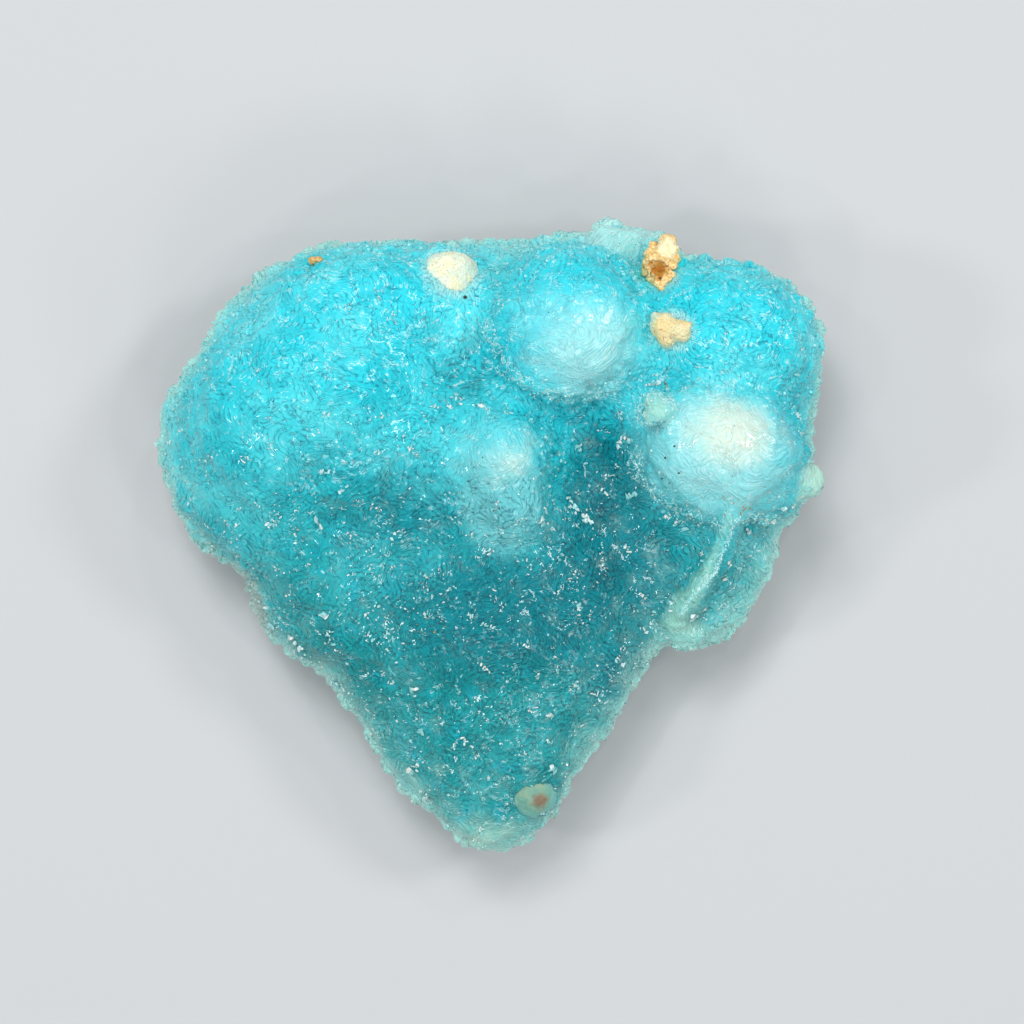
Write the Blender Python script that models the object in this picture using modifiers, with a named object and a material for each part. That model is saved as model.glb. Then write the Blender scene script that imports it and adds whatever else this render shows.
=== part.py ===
"""A specimen of blue botryoidal hemimorphite, lying on its broken back.

The mass is one solid: a thin-rimmed body on which rounded domes have grown
together, with a folded flap at the lower right and a tapering tongue at the
bottom. A few crumbs of cream and rust-brown matrix sit in pockets in it.
X runs to the right and Y up the face, Z up from the surface that it rests on.
"""

import math

import bpy
from mathutils import Matrix, Vector, noise
from mathutils.bvhtree import BVHTree
from mathutils.geometry import intersect_point_line

MM = 0.001

# Driving dimensions, in millimetres.
RIM_HEIGHT = 8.0
CROWN_HEIGHT = 7.0
BACK_HOLLOW = 1.3
BACK_FULLNESS = 0.6
VALLEY_DEPTH = 3.6
VALLEY_WIDTH = 3.0
SWELL_VOXEL = 0.6
SWELL_SMOOTHING = 34
DOME_VOXEL = 0.42
DOME_SMOOTHING = 4
MASS_TRIANGLES = 6900
GROUND_CUT = 0.45
POCKET_GAP = 0.3
CRUMB_CUTS = 3
POCKET_CUTS = 2
SKY = 100.0

# The rim of the body seen from the front, anticlockwise from the right knob.
RIM_MIDDLE = (0.0, 3.0)
RIM = [
    (24.3, 7.0), (24.9, 9.6), (24.8, 11.3), (25.1, 12.7), (25.1, 14.2), (24.8, 16.6),
    (23.8, 18.2), (22.6, 19.0), (20.4, 19.5), (18.3, 20.6), (16.0, 20.9), (13.6, 21.0),
    (10.2, 21.6), (7.0, 23.0), (4.6, 22.6), (1.6, 22.4), (-0.8, 22.5), (-3.2, 22.1),
    (-5.3, 22.5), (-8.0, 22.1), (-10.0, 21.9), (-12.3, 22.2), (-14.0, 21.2),
    (-16.4, 19.8), (-18.9, 18.3), (-20.3, 16.8), (-21.1, 14.7), (-22.2, 13.4),
    (-24.3, 11.0), (-25.2, 9.4), (-25.0, 6.7), (-24.6, 4.4), (-23.8, 2.0), (-22.5, -0.4),
    (-20.3, -1.7), (-18.7, -3.2), (-17.9, -5.6), (-16.6, -7.6), (-14.0, -9.4),
    (-12.4, -10.8), (-11.5, -12.4), (-9.4, -14.9), (-8.3, -17.2), (-7.1, -18.9),
    (-5.4, -19.9), (-4.0, -21.3), (-2.1, -23.3), (0.3, -23.7), (2.6, -22.9),
    (4.7, -21.7), (5.7, -20.2), (6.4, -18.0), (7.2, -16.4), (8.7, -15.2), (10.4, -12.2),
    (11.9, -9.9), (12.9, -8.0), (14.6, -7.6), (17.4, -6.8), (19.6, -4.8), (20.8, -1.9),
    (21.7, 0.4), (23.3, 2.3), (24.2, 3.6), (24.1, 5.2),
]

# The valley between the domes, running down into the groove beside the flap.
VALLEY = [(6.6, 9.0), (8.2, 2.6), (12.9, -3.6), (13.2, -8.0)]

# Broad swells of the body, blended softly: centre x, y, z, radii x, y, z, and turn about Z.
SWELLS = {
    "left_dome": (-12.8, 8.8, 9.0, 10.6, 10.0, 9.4, 12),
    "left_foot": (-15.0, 1.6, 8.0, 8.2, 5.6, 6.8, -22),
    "left_shoulder": (-8.8, 16.8, 9.2, 10.2, 5.4, 7.4, 4),
    "middle_fill": (-3.0, 6.0, 8.6, 8.6, 9.6, 7.8, 0),
    "right_shoulder": (16.8, 14.8, 9.4, 8.4, 6.2, 7.8, -12),
    "lower_left_bank": (-10.4, -4.2, 8.0, 7.6, 5.2, 6.6, -40),
    "belly": (-1.6, -6.2, 8.2, 9.0, 6.8, 7.8, 0),
    "lower_right_bank": (6.4, -7.8, 7.4, 5.2, 5.0, 5.4, 40),
    "tongue_root": (-0.2, -14.2, 7.6, 6.2, 5.6, 5.8, 0),
    "tongue_tip": (0.2, -19.9, 7.0, 4.6, 3.2, 4.4, 8),
    "back_boss_left": (-11.0, 7.0, 3.2, 6.5, 6.0, 3.5, 0),
    "back_boss_right": (11.5, 9.0, 3.2, 6.0, 5.5, 3.5, 0),
    "back_boss_low": (0.5, -9.5, 3.2, 5.0, 5.2, 3.5, 0),
}

# Domes and knobs that stand out with a clear edge, in the same terms.
DOMES = {
    "top_dome": (5.8, 15.6, 11.6, 6.6, 6.2, 7.3, 0),
    "top_dome_lip": (4.7, 12.4, 11.9, 5.0, 3.0, 5.2, -8),
    "right_dome": (17.0, 6.8, 11.4, 6.8, 5.4, 6.9, -8),
    "right_dome_lip": (16.2, 3.8, 11.2, 4.8, 3.0, 4.9, -14),
    "right_dome_foot": (20.2, 3.4, 9.6, 3.8, 3.0, 4.8, 24),
    "middle_dome": (1.1, 5.6, 11.8, 4.3, 4.5, 5.9, 0),
    "middle_dome_foot": (1.9, 2.5, 11.4, 3.5, 3.9, 5.2, 0),
    "flap": (18.2, -2.9, 7.2, 2.8, 5.1, 3.2, -28),
    "flap_tip": (15.6, -6.2, 7.4, 2.6, 2.0, 2.6, -30),
    "right_knob": (23.7, 4.1, 10.2, 1.5, 1.2, 1.3, 0),
    "pea_on_the_right_dome": (12.6, 9.5, 15.6, 1.35, 1.35, 2.2, 0),
    "bead_by_the_pea": (14.7, 10.5, 16.0, 1.0, 0.9, 1.9, 0),
    "rear_lobe": (10.3, 22.0, 6.0, 3.4, 1.8, 3.2, -8),
    "rear_ledge": (2.4, 21.9, 6.0, 3.2, 0.9, 2.4, 4),
    "crust_seat": (12.5, 18.7, 9.4, 2.6, 2.1, 3.4, 0),
    "lower_left_ledge": (-16.9, -5.1, 5.6, 1.1, 3.0, 2.2, 33),
}

# The pale seam along the fold of the flap, and its half thickness.
SEAM = [
    (17.8, 1.8, 13.4), (17.2, -0.3, 12.6), (16.8, -1.6, 12.2), (15.6, -3.5, 11.6), (14.4, -5.1, 10.8),
    (13.6, -6.4, 9.0),
]
SEAM_RADIUS = 1.0

# Lumps in the surface: size across, height.
LUMPS = ((5.2, 0.42), (2.4, 0.24))

# Crumbs of matrix in the face: x, y, radii x, y, z, turn about Z, depth sunk, roughness, material.
CRUMBS = {
    "limonite_crust": (12.7, 20.3, 1.35, 2.2, 1.7, 8, 0.1, 0.22, "limonite"),
    "cream_nodule_left": (-3.2, 20.2, 2.3, 1.8, 1.5, -6, 0.8, 0.14, "cream_matrix"),
    "cream_nodule_right": (13.3, 15.4, 1.65, 1.4, 1.3, -24, 0.55, 0.18, "cream_matrix"),
    "ochre_grain": (-13.1, 20.4, 0.7, 0.45, 0.55, -4, 0.15, 0.16, "limonite"),
    "rusty_nodule": (3.4, -19.4, 1.6, 1.55, 1.2, 0, 0.65, 0.10, "rusty_matrix"),
}

# Colour, roughness and metallic value of each material.
FINISHES = {
    "hemimorphite": ((0.09, 0.62, 0.70, 1.0), 0.35, 0.0),
    "limonite": ((0.72, 0.47, 0.20, 1.0), 0.85, 0.0),
    "cream_matrix": ((0.86, 0.78, 0.58, 1.0), 0.80, 0.0),
    "rusty_matrix": ((0.52, 0.46, 0.36, 1.0), 0.75, 0.0),
}


def clear_scene():
    for thing in list(bpy.data.objects):
        bpy.data.objects.remove(thing, do_unlink=True)


def collection(name):
    made = bpy.data.collections.new(name)
    bpy.context.scene.collection.children.link(made)
    return made


def material(name):
    colour, roughness, metallic = FINISHES[name]
    made = bpy.data.materials.new(name)
    made.use_nodes = True
    shader = made.node_tree.nodes["Principled BSDF"]
    shader.inputs["Base Color"].default_value = colour
    shader.inputs["Roughness"].default_value = roughness
    shader.inputs["Metallic"].default_value = metallic
    return made


def in_collection(thing, group):
    for holder in list(thing.users_collection):
        holder.objects.unlink(thing)
    group.objects.link(thing)
    return thing


def evaluated_mesh(thing):
    """The object's mesh with its modifiers applied."""
    graph = bpy.context.evaluated_depsgraph_get()
    return bpy.data.meshes.new_from_object(thing.evaluated_get(graph))


def rim_reach(angle):
    """Distance in mm from the middle of the rim to the rim, on a smooth closed curve."""
    polar = sorted(
        (math.atan2(y - RIM_MIDDLE[1], x - RIM_MIDDLE[0]), math.hypot(x - RIM_MIDDLE[0], y - RIM_MIDDLE[1]))
        for x, y in RIM
    )
    count = len(polar)
    after = next((i for i, (a, _) in enumerate(polar) if a > angle), 0)
    near = [polar[(after + step) % count] for step in (-2, -1, 0, 1)]
    full = 2 * math.pi
    span = (near[2][0] - near[1][0]) % full
    t = ((angle - near[1][0]) % full) / span
    a, b, c, d = (reach for _, reach in near)
    return b + 0.5 * t * (c - a + t * (2 * a - 5 * b + 4 * c - d + t * (3 * (b - c) + d - a)))


def valley_depth(x, y):
    """How far the valley lowers the face at x, y in mm."""
    here = Vector((x, y, 0.0))
    nearest = VALLEY_WIDTH * 4
    for start, end in zip(VALLEY, VALLEY[1:]):
        start, end = Vector((*start, 0.0)), Vector((*end, 0.0))
        share = intersect_point_line(here, start, end)[1]
        foot = start.lerp(end, min(1.0, max(0.0, share)))
        nearest = min(nearest, (here - foot).length)
    return VALLEY_DEPTH * math.exp(-((nearest / VALLEY_WIDTH) ** 2))


def body_core():
    """A sphere drawn out to the rim, low at the edge, crowned in front and hollow behind."""
    bpy.ops.mesh.primitive_uv_sphere_add(segments=192, ring_count=64, radius=1.0)
    core = bpy.context.object
    for point in core.data.vertices:
        angle = math.atan2(point.co.y, point.co.x)
        reach = rim_reach(angle) * math.hypot(point.co.x, point.co.y)
        x = RIM_MIDDLE[0] + reach * math.cos(angle)
        y = RIM_MIDDLE[1] + reach * math.sin(angle)
        if point.co.z > 0:
            z = RIM_HEIGHT + (CROWN_HEIGHT - valley_depth(x, y)) * point.co.z
        else:
            z = RIM_HEIGHT - (RIM_HEIGHT - BACK_HOLLOW) * abs(point.co.z) ** BACK_FULLNESS
        point.co = Vector((x, y, z)) * MM
    return core


def dome(x, y, z, radius_x, radius_y, radius_z, turn):
    bpy.ops.mesh.primitive_ico_sphere_add(subdivisions=4, radius=1.0)
    made = bpy.context.object
    made.data.transform(
        Matrix.Translation(Vector((x, y, z)) * MM)
        @ Matrix.Rotation(math.radians(turn), 4, "Z")
        @ Matrix.Diagonal((radius_x * MM, radius_y * MM, radius_z * MM, 1.0))
    )
    return made


def seam():
    """The raised seam, a round rod through its points, as a mesh."""
    line = bpy.data.curves.new("seam_line", "CURVE")
    line.dimensions = "3D"
    line.bevel_depth = SEAM_RADIUS * MM
    line.bevel_resolution = 3
    line.use_fill_caps = True
    spline = line.splines.new("POLY")
    spline.points.add(len(SEAM) - 1)
    for point, place in zip(spline.points, SEAM):
        point.co = (*(Vector(place) * MM), 1.0)
    rod = bpy.data.objects.new("seam_line", line)
    bpy.context.scene.collection.objects.link(rod)
    made = bpy.data.objects.new("seam", evaluated_mesh(rod))
    bpy.context.scene.collection.objects.link(made)
    made.matrix_world = rod.matrix_world
    bpy.data.objects.remove(rod, do_unlink=True)
    return made


def joined(things):
    bpy.ops.object.select_all(action="DESELECT")
    for thing in things:
        thing.select_set(True)
    bpy.context.view_layer.objects.active = things[0]
    bpy.ops.object.join()
    return bpy.context.object


def fused(thing, voxel, rounds):
    """The overlapping shapes made one skin, with the creases between them softened."""
    skin = thing.modifiers.new("fuse", "REMESH")
    skin.mode = "VOXEL"
    skin.voxel_size = voxel * MM
    soften = thing.modifiers.new("soften", "SMOOTH")
    soften.factor = 0.5
    soften.iterations = rounds
    mesh = evaluated_mesh(thing)
    thing.modifiers.clear()
    thing.data = mesh
    return thing


def roughened(thing):
    """Moves the skin in and out by the lumps."""
    mesh = thing.data
    normals = [point.normal.copy() for point in mesh.vertices]
    for point, normal in zip(mesh.vertices, normals):
        place = point.co / MM
        lift = sum(height * noise.noise(place / across) for across, height in LUMPS)
        point.co = point.co + normal * lift * MM
    mesh.update()


def ground_flat(mesh):
    """Grinds the lowest places of the back down to one plane, on which it rests."""
    for point in mesh.vertices:
        point.co.z = max(point.co.z, GROUND_CUT * MM)
    mesh.update()


def thinned(thing, triangles):
    """Fewer triangles, kept where the surface turns most."""
    thing.data.calc_loop_triangles()
    collapse = thing.modifiers.new("thin", "DECIMATE")
    collapse.ratio = triangles / len(thing.data.loop_triangles)
    collapse.use_collapse_triangulate = True
    mesh = evaluated_mesh(thing)
    thing.modifiers.clear()
    thing.data = mesh


def mass():
    """The hemimorphite itself."""
    swells = [dome(*sizes) for sizes in SWELLS.values()]
    body = fused(joined([body_core(), *swells]), SWELL_VOXEL, SWELL_SMOOTHING)
    domes = [dome(*sizes) for sizes in DOMES.values()]
    made = fused(joined([body, seam(), *domes]), DOME_VOXEL, DOME_SMOOTHING)
    made.name = "hemimorphite"
    roughened(made)
    ground_flat(made.data)
    thinned(made, MASS_TRIANGLES)
    return made


def face_height(thing, x, y):
    """Where a line down at x, y in mm first meets the thing."""
    tree = BVHTree.FromPolygons(
        [point.co for point in thing.data.vertices],
        [face.vertices for face in thing.data.polygons],
    )
    place, normal, _, _ = tree.ray_cast(Vector((x, y, SKY)) * MM, Vector((0, 0, -1)))
    return place, normal


def crumb(name, place, normal, sizes, cuts=CRUMB_CUTS, grow=0.0):
    """A lump with an uneven surface, lying along the face. Grow swells it, for its pocket."""
    radius_x, radius_y, radius_z, turn, sunk, unevenness = sizes
    bpy.ops.mesh.primitive_ico_sphere_add(subdivisions=cuts, radius=1.0)
    made = bpy.context.object
    made.name = name
    seed = Vector((place.x, place.y, 0.0)) / MM
    for point in made.data.vertices:
        way = point.co.normalized()
        bumps = noise.noise(way * 1.7 + seed) + 0.5 * noise.noise(way * 3.9 + seed)
        point.co = way * (1 + unevenness * bumps)
    stretch = Matrix.Diagonal(((radius_x + grow) * MM, (radius_y + grow) * MM, (radius_z + grow) * MM, 1.0))
    up = Vector((0, 0, 1))
    lean = up.rotation_difference((normal + up).normalized()).to_matrix().to_4x4()
    made.data.transform(Matrix.Rotation(math.radians(turn), 4, "Z") @ stretch)
    made.data.transform(Matrix.Translation(place - normal * sunk * MM) @ lean)
    return made


def pocket(thing, cutter, group):
    """Cuts the crumb's pocket out of the mass."""
    cutter.hide_render = True
    cutter.display_type = "WIRE"
    in_collection(cutter, group)
    cut = thing.modifiers.new(cutter.name, "BOOLEAN")
    cut.operation = "DIFFERENCE"
    cut.solver = "EXACT"
    cut.object = cutter


def set_on_origin(body, things):
    """Moves all the things as one, so that the middle of the underside of the body's box is at the origin."""
    places = [point.co for point in body.data.vertices]
    low = Vector([min(place[axis] for place in places) for axis in range(3)])
    high = Vector([max(place[axis] for place in places) for axis in range(3)])
    for thing in things:
        thing.data.transform(Matrix.Translation((-(low.x + high.x) / 2, -(low.y + high.y) / 2, -low.z)))


def main():
    clear_scene()
    parts = collection("hemimorphite_specimen")
    cutters = collection("pocket_cutters")
    body = in_collection(mass(), parts)
    body.data.materials.clear()
    body.data.materials.append(material("hemimorphite"))
    finishes = {name: material(name) for name in FINISHES if name != "hemimorphite"}
    for name, (x, y, radius_x, radius_y, radius_z, turn, sunk, unevenness, finish) in CRUMBS.items():
        place, normal = face_height(body, x, y)
        sizes = (radius_x, radius_y, radius_z, turn, sunk, unevenness)
        made = in_collection(crumb(name, place, normal, sizes), parts)
        made.data.materials.append(finishes[finish])
        pocket(body, crumb(name + "_pocket", place, normal, sizes, POCKET_CUTS, POCKET_GAP), cutters)
    set_on_origin(body, [*parts.objects, *cutters.objects])


main()
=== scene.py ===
"""The finish of the hemimorphite specimen.

The mass gets a crust of fine crystal blades, whose rows turn in swirls, and a
translucent blue that pales in the domes' cores and at the thin rim, where the paling
is painted light shining through. The blue darkens towards the bottom and in the
valleys and lightens up the face, partly its own tone and partly painted shade and
light falling from the top; painted shade also darkens the gaps between the blades,
painted highlight lightens their crests, and white painted glints lie among them.
Its crumbs of matrix are modelled anew, larger grains and all. Bright flakes of
crystal, their white partly painted glint, lie scattered on the face. Lengths are in
millimetres unless a comment says otherwise.
"""

import math

import bmesh
import bpy
import numpy as np
from mathutils import Matrix, Vector, noise
from mathutils.bvhtree import BVHTree
from mathutils.kdtree import KDTree


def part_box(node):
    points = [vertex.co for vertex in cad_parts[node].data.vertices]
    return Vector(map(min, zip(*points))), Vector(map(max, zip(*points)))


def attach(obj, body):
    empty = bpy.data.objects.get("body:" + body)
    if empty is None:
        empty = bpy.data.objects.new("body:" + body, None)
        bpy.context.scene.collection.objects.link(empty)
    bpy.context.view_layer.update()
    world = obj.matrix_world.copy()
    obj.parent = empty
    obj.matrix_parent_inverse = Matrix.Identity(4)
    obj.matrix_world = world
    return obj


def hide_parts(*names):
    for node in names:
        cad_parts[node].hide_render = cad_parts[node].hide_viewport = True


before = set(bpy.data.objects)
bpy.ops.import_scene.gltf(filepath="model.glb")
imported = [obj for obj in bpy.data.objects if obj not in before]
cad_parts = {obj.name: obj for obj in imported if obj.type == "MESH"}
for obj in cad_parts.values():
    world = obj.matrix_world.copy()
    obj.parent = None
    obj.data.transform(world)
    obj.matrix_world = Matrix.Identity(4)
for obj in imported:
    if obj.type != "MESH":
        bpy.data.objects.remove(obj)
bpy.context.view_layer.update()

MM = 0.001

# The skin of the mass: the size of its faces, how often it is smoothed, the least slope that
# counts as the face, and the share of its faces that is kept in the end.
SKIN_VOXEL = 0.31
SKIN_SMOOTHING = 4
FRONT_SLOPE = 0.05
KEPT_FACES = 0.55

# The crumbs of matrix. The mass has a pocket for each, which a plug fills: how much larger than
# the crumb the plug is, and how much deeper it sits.
CRUMBS = ("limonite_crust", "cream_nodule_left", "cream_nodule_right", "ochre_grain", "rusty_nodule")
PLUG_GROWTH = 1.22
PLUG_SINK = 0.5

# The crystal blades stand in rows that wander. Each swirl has a size and a strength.
SWIRLS = ((1.9, 1.5), (4.2, 1.8), (10.0, 1.4))
ROW_SPACING = 0.4
ROW_UNEVENNESS = 0.35
ROW_REACH = 0.85
ROW_SEED_GAP = 0.45
ROW_HEIGHT = 0.12
ROW_ROOT = 0.4
ROW_WANDER = 1.1
ROW_SNAP = 0.6
ROW_BREAKS = 0.7
CALM_PATCHES = 2.6

# Low relief under the blades: size across and height.
RELIEF = ((2.6, 0.14), (1.2, 0.12), (0.6, 0.07))
BACK_RELIEF = ((3.4, 0.35), (1.2, 0.2), (0.6, 0.1))

# Scallops of the rim: size across and height.
SCALLOPS = ((2.3, 0.36), (0.9, 0.16), (0.5, 0.08))

# Swellings that the solid leaves out: middle and radii. The pea, the knob, the flap's end and
# its floor beside the seam.
SWELLS = [
    (12.0, 9.0, 16.4, 1.3, 1.3, 1.3), (23.1, 4.0, 11.9, 1.7, 1.75, 1.7),
    (14.5, -7.0, 7.9, 2.1, 1.6, 1.8), (16.2, -5.4, 8.4, 1.8, 2.2, 1.8), (17.5, -1.8, 9.7, 1.5, 1.6, 1.8),
    (16.7, -3.3, 9.3, 1.5, 1.6, 1.8), (16.0, -4.6, 8.9, 1.5, 1.6, 1.8),
]

# The knob on the right edge is drawn in to a ball: middle and radii, and where it begins along x.
KNOB = (23.2, 4.0, 11.8, 1.45, 1.6, 1.6)
KNOB_START = (22.6, 23.5)

# Ridges on the face, each a line of x and y, its half width and its height: the flap's seam
# with its crest, the lips of the top dome and the right dome, and a ring round the pea.
RIDGES = {
    "seam": (
        [(17.2, 1.4), (16.5, -0.9), (15.8, -2.6), (14.9, -4.0), (14.0, -5.1), (13.5, -6.2)],
        1.2, 0.25,
    ),
    "seam_crest": (
        [(17.7, 1.3), (17.0, -0.9), (16.4, -2.6), (15.5, -3.7), (14.6, -4.6), (13.95, -5.7)],
        0.32, 0.16,
    ),
    "top_lip": (
        [(-0.6, 15.4), (0.4, 13.6), (1.6, 11.6), (3.2, 10.4), (5.0, 9.9), (7.4, 10.0), (9.7, 10.9)],
        0.5, 0.12,
    ),
    "right_lip": (
        [(10.4, 6.1), (10.6, 4.4), (11.8, 3.2), (13.6, 1.6), (16.3, 0.9), (19.0, 1.2), (21.0, 1.0)],
        0.5, 0.14,
    ),
    "pea_ring": (
        [
            (13.2, 9.0), (12.8, 9.9), (11.9, 10.3), (11.0, 9.9), (10.6, 9.0), (11.0, 8.1),
            (11.9, 7.7), (12.8, 8.1),
        ],
        0.35, 0.05,
    ),
}

# How far the ridges' edges wander to and fro.
RIDGE_WANDER = 0.15

# The seam narrows upwards: where that starts and ends along y, and the share of its width that it loses.
SEAM_WIDE_BELOW = -5.5
SEAM_NARROW_ABOVE = 0.5
SEAM_NARROWING = 0.5

# Levels along z: the rim's, and one above everything, from which the skin is looked down at. Then
# how far round a spot it is looked at.
RIM_LEVEL = 7.5
SKY = 40.0
SEAT_REACH = 0.4

SEED = 7


# Mesh helpers.

def coordinates(mesh):
    flat = np.empty(len(mesh.vertices) * 3)
    mesh.vertices.foreach_get("co", flat)
    return flat.reshape(-1, 3) / MM


def set_coordinates(mesh, places):
    mesh.vertices.foreach_set("co", (places * MM).ravel())
    mesh.update()


def normals(mesh):
    flat = np.empty(len(mesh.vertices) * 3)
    mesh.vertex_normals.foreach_get("vector", flat)
    return flat.reshape(-1, 3)


def set_attribute(mesh, name, values):
    layer = mesh.attributes.new(name, "FLOAT", "POINT")
    layer.data.foreach_set("value", np.asarray(values, dtype=np.float32))


def new_object(name, data):
    made = bpy.data.objects.new(name, data)
    bpy.context.scene.collection.objects.link(made)
    return made


def object_of(name, shape):
    """An object made of a shape that was being edited."""
    mesh = bpy.data.meshes.new(name)
    shape.to_mesh(mesh)
    shape.free()
    return new_object(name, mesh)


def baked(thing):
    """The object's mesh as its modifiers leave it. The object itself goes."""
    graph = bpy.context.evaluated_depsgraph_get()
    mesh = bpy.data.meshes.new_from_object(thing.evaluated_get(graph))
    bpy.data.objects.remove(thing, do_unlink=True)
    return mesh


def fused(thing, voxel, smoothing):
    """The object's parts fused to one closed skin and smoothed. The object itself goes."""
    remesh = thing.modifiers.new("fuse", "REMESH")
    remesh.mode = "VOXEL"
    remesh.voxel_size = voxel * MM
    soften = thing.modifiers.new("soften", "SMOOTH")
    soften.factor = 0.5
    soften.iterations = smoothing
    return baked(thing)


def smooth(mesh):
    mesh.polygons.foreach_set("use_smooth", np.ones(len(mesh.polygons), dtype=bool))


def tree_of(places):
    tree = KDTree(len(places))
    for index, place in enumerate(places):
        tree.insert(place, index)
    tree.balance()
    return tree


def noise_at(places, size, offset):
    """Noise of a size at each place. The offset picks the part of its pattern that is used."""
    shift = Vector((offset, offset * 0.7, -offset))
    return np.array([noise.noise(Vector(place) / size + shift) for place in places])


def smooth_step(values, low, high):
    share = np.clip((values - low) / (high - low), 0.0, 1.0)
    return share * share * (3 - 2 * share)


# The skin.

def plugged_body():
    """The mass with plugs in the crumbs' pockets, so that the skin runs on under each crumb."""
    shape = bmesh.new()
    shape.from_mesh(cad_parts["hemimorphite"].data)
    for name in CRUMBS:
        plug = bmesh.new()
        plug.from_mesh(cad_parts[name].data)
        low, high = (Vector(corner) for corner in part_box(name))
        middle = (low + high) / 2
        sink = Vector((0, 0, -PLUG_SINK * MM))
        grow = Matrix.Scale(PLUG_GROWTH, 4)
        plug.transform(Matrix.Translation(middle + sink) @ grow @ Matrix.Translation(-middle))
        spare = bpy.data.meshes.new("plug")
        plug.to_mesh(spare)
        plug.free()
        shape.from_mesh(spare)
        bpy.data.meshes.remove(spare)
    for *middle, across, along, up in SWELLS:
        move = Matrix.Translation(Vector(middle) * MM) @ Matrix.Diagonal((across, along, up, 1.0))
        bmesh.ops.create_icosphere(shape, subdivisions=4, radius=MM, matrix=move)
    return object_of("plugged", shape)


def even_skin():
    """One closed skin of small even faces, twice as fine on the face as on the back."""
    mesh = fused(plugged_body(), SKIN_VOXEL, SKIN_SMOOTHING)
    shape = bmesh.new()
    shape.from_mesh(mesh)
    shape.normal_update()
    front = [
        edge for edge in shape.edges if all(face.normal.z > FRONT_SLOPE for face in edge.link_faces)
    ]
    bmesh.ops.subdivide_edges(shape, edges=front, cuts=1, use_grid_fill=True)
    bmesh.ops.triangulate(shape, faces=[face for face in shape.faces if len(face.verts) > 4])
    bmesh.ops.smooth_vert(
        shape, verts=shape.verts[:], factor=0.5, use_axis_x=True, use_axis_y=True, use_axis_z=True
    )
    shape.to_mesh(mesh)
    shape.free()
    return mesh


def thinned(mesh):
    """The same skin with fewer faces, merged where it is flattest."""
    thing = new_object("full", mesh)
    merge = thing.modifiers.new("merge", "DECIMATE")
    merge.ratio = KEPT_FACES
    return baked(thing)


def spaced(places, candidates, gap, seed):
    """Indices of places no nearer to each other than a gap, tried in random order."""
    order = np.random.default_rng(seed).permutation(candidates)
    kept = []
    cells = {}
    for index in order:
        place = places[index]
        cell = tuple(np.floor(place / gap).astype(int))
        near = (
            cells.get((cell[0] + i, cell[1] + j, cell[2] + k), ())
            for i in (-1, 0, 1) for j in (-1, 0, 1) for k in (-1, 0, 1)
        )
        if all(np.sum((places[other] - place) ** 2) >= gap * gap for group in near for other in group):
            kept.append(index)
            cells.setdefault(cell, []).append(index)
    return kept


def swirl_directions(places, facing):
    """At each point, the direction in the surface that lies across the rows of blades."""
    turn = sum(math.pi * strength * noise_at(places, size, size) for size, strength in SWIRLS)
    wanted = np.stack((np.cos(turn), np.sin(turn), 0.3 * np.sin(2 * turn)), axis=1)
    flat = wanted - facing * np.sum(wanted * facing, axis=1)[:, None]
    return flat / np.linalg.norm(flat, axis=1)[:, None]


def blade_phases(places, facing, across, spacing):
    """Where each point lies in the rows of blades: an angle, 0 on a crest and pi in a gap.

    Short wave trains, each nearly in step with those laid before it, add up to rows.
    """
    random = np.random.default_rng(SEED)
    tree = tree_of(places)
    candidates = np.flatnonzero(facing[:, 2] > FRONT_SLOPE - 0.3)
    waves = np.zeros(len(places), dtype=complex)
    for index in spaced(places, candidates, ROW_SEED_GAP, SEED):
        near = np.array([found for _, found, _ in tree.find_range(places[index], ROW_REACH)])
        offset = places[near] - places[index]
        aside = offset @ across[index]
        window = np.exp(-3.5 * np.sum(offset * offset, axis=1) / ROW_REACH ** 2)
        train = window * np.exp(2j * math.pi * aside / spacing[index])
        agreed = np.sum(waves[near] * np.conj(train))
        step = np.angle(agreed) if abs(agreed) > 1e-9 else random.uniform(-math.pi, math.pi)
        waves[near] += train * np.exp(1j * (step + random.normal(0.0, ROW_WANDER)))
    return np.angle(waves)


def snapped(phase):
    """The phase after a point has slid most of the way to the nearest crest or gap."""
    target = np.where(np.abs(phase) < math.pi / 2, 0.0, np.sign(phase) * math.pi)
    return phase + ROW_SNAP * (target - phase)


def line_distance(places, line):
    """Distance from each point to a line of x and y."""
    flat = places[:, :2]
    nearest = np.full(len(places), 1e9)
    for first, second in zip(line, line[1:]):
        first, second = np.array(first), np.array(second)
        run = second - first
        share = np.clip(((flat - first) @ run) / (run @ run), 0.0, 1.0)
        nearest = np.minimum(nearest, np.linalg.norm(flat - first - share[:, None] * run, axis=1))
    return nearest


def rounded_knob(places):
    """The places with the knob's pointed tip drawn in to a ball."""
    middle, radii = np.array(KNOB[:3]), np.array(KNOB[3:])
    offset = places - middle
    far = np.linalg.norm(offset / radii, axis=1)
    share = smooth_step(places[:, 0], *KNOB_START) * smooth_step(far, 3.0, 2.0)
    drawn = middle + offset / np.maximum(far, 1.0)[:, None]
    return places + share[:, None] * (drawn - places)


def ridge_shares(places):
    """For each ridge, how near each point is to its crest, from 0 to 1."""
    wander = RIDGE_WANDER * noise_at(places, 0.9, 5.1)
    shares = {
        name: np.clip(1 - (line_distance(places, line) + wander) / half_width, 0.0, 1.0)
        for name, (line, half_width, _) in RIDGES.items()
    }
    narrowing = smooth_step(places[:, 1], SEAM_WIDE_BELOW, SEAM_NARROW_ABOVE)
    shares["seam"] = np.clip(shares["seam"] - SEAM_NARROWING * narrowing, 0.0, 1.0)
    return shares


def thickness(mesh, places, facing):
    """How thick the mass is above or below each point."""
    tree = BVHTree.FromPolygons(
        [Vector(place) for place in places], [tuple(face.vertices) for face in mesh.polygons]
    )
    found = np.zeros(len(places))
    for index, (place, normal) in enumerate(zip(places, facing)):
        inward = Vector((0, 0, -1 if normal[2] > 0 else 1))
        hit = tree.ray_cast(Vector(place) - Vector(normal) * 0.05, inward)
        found[index] = hit[3] or 0.0
    return found


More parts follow.
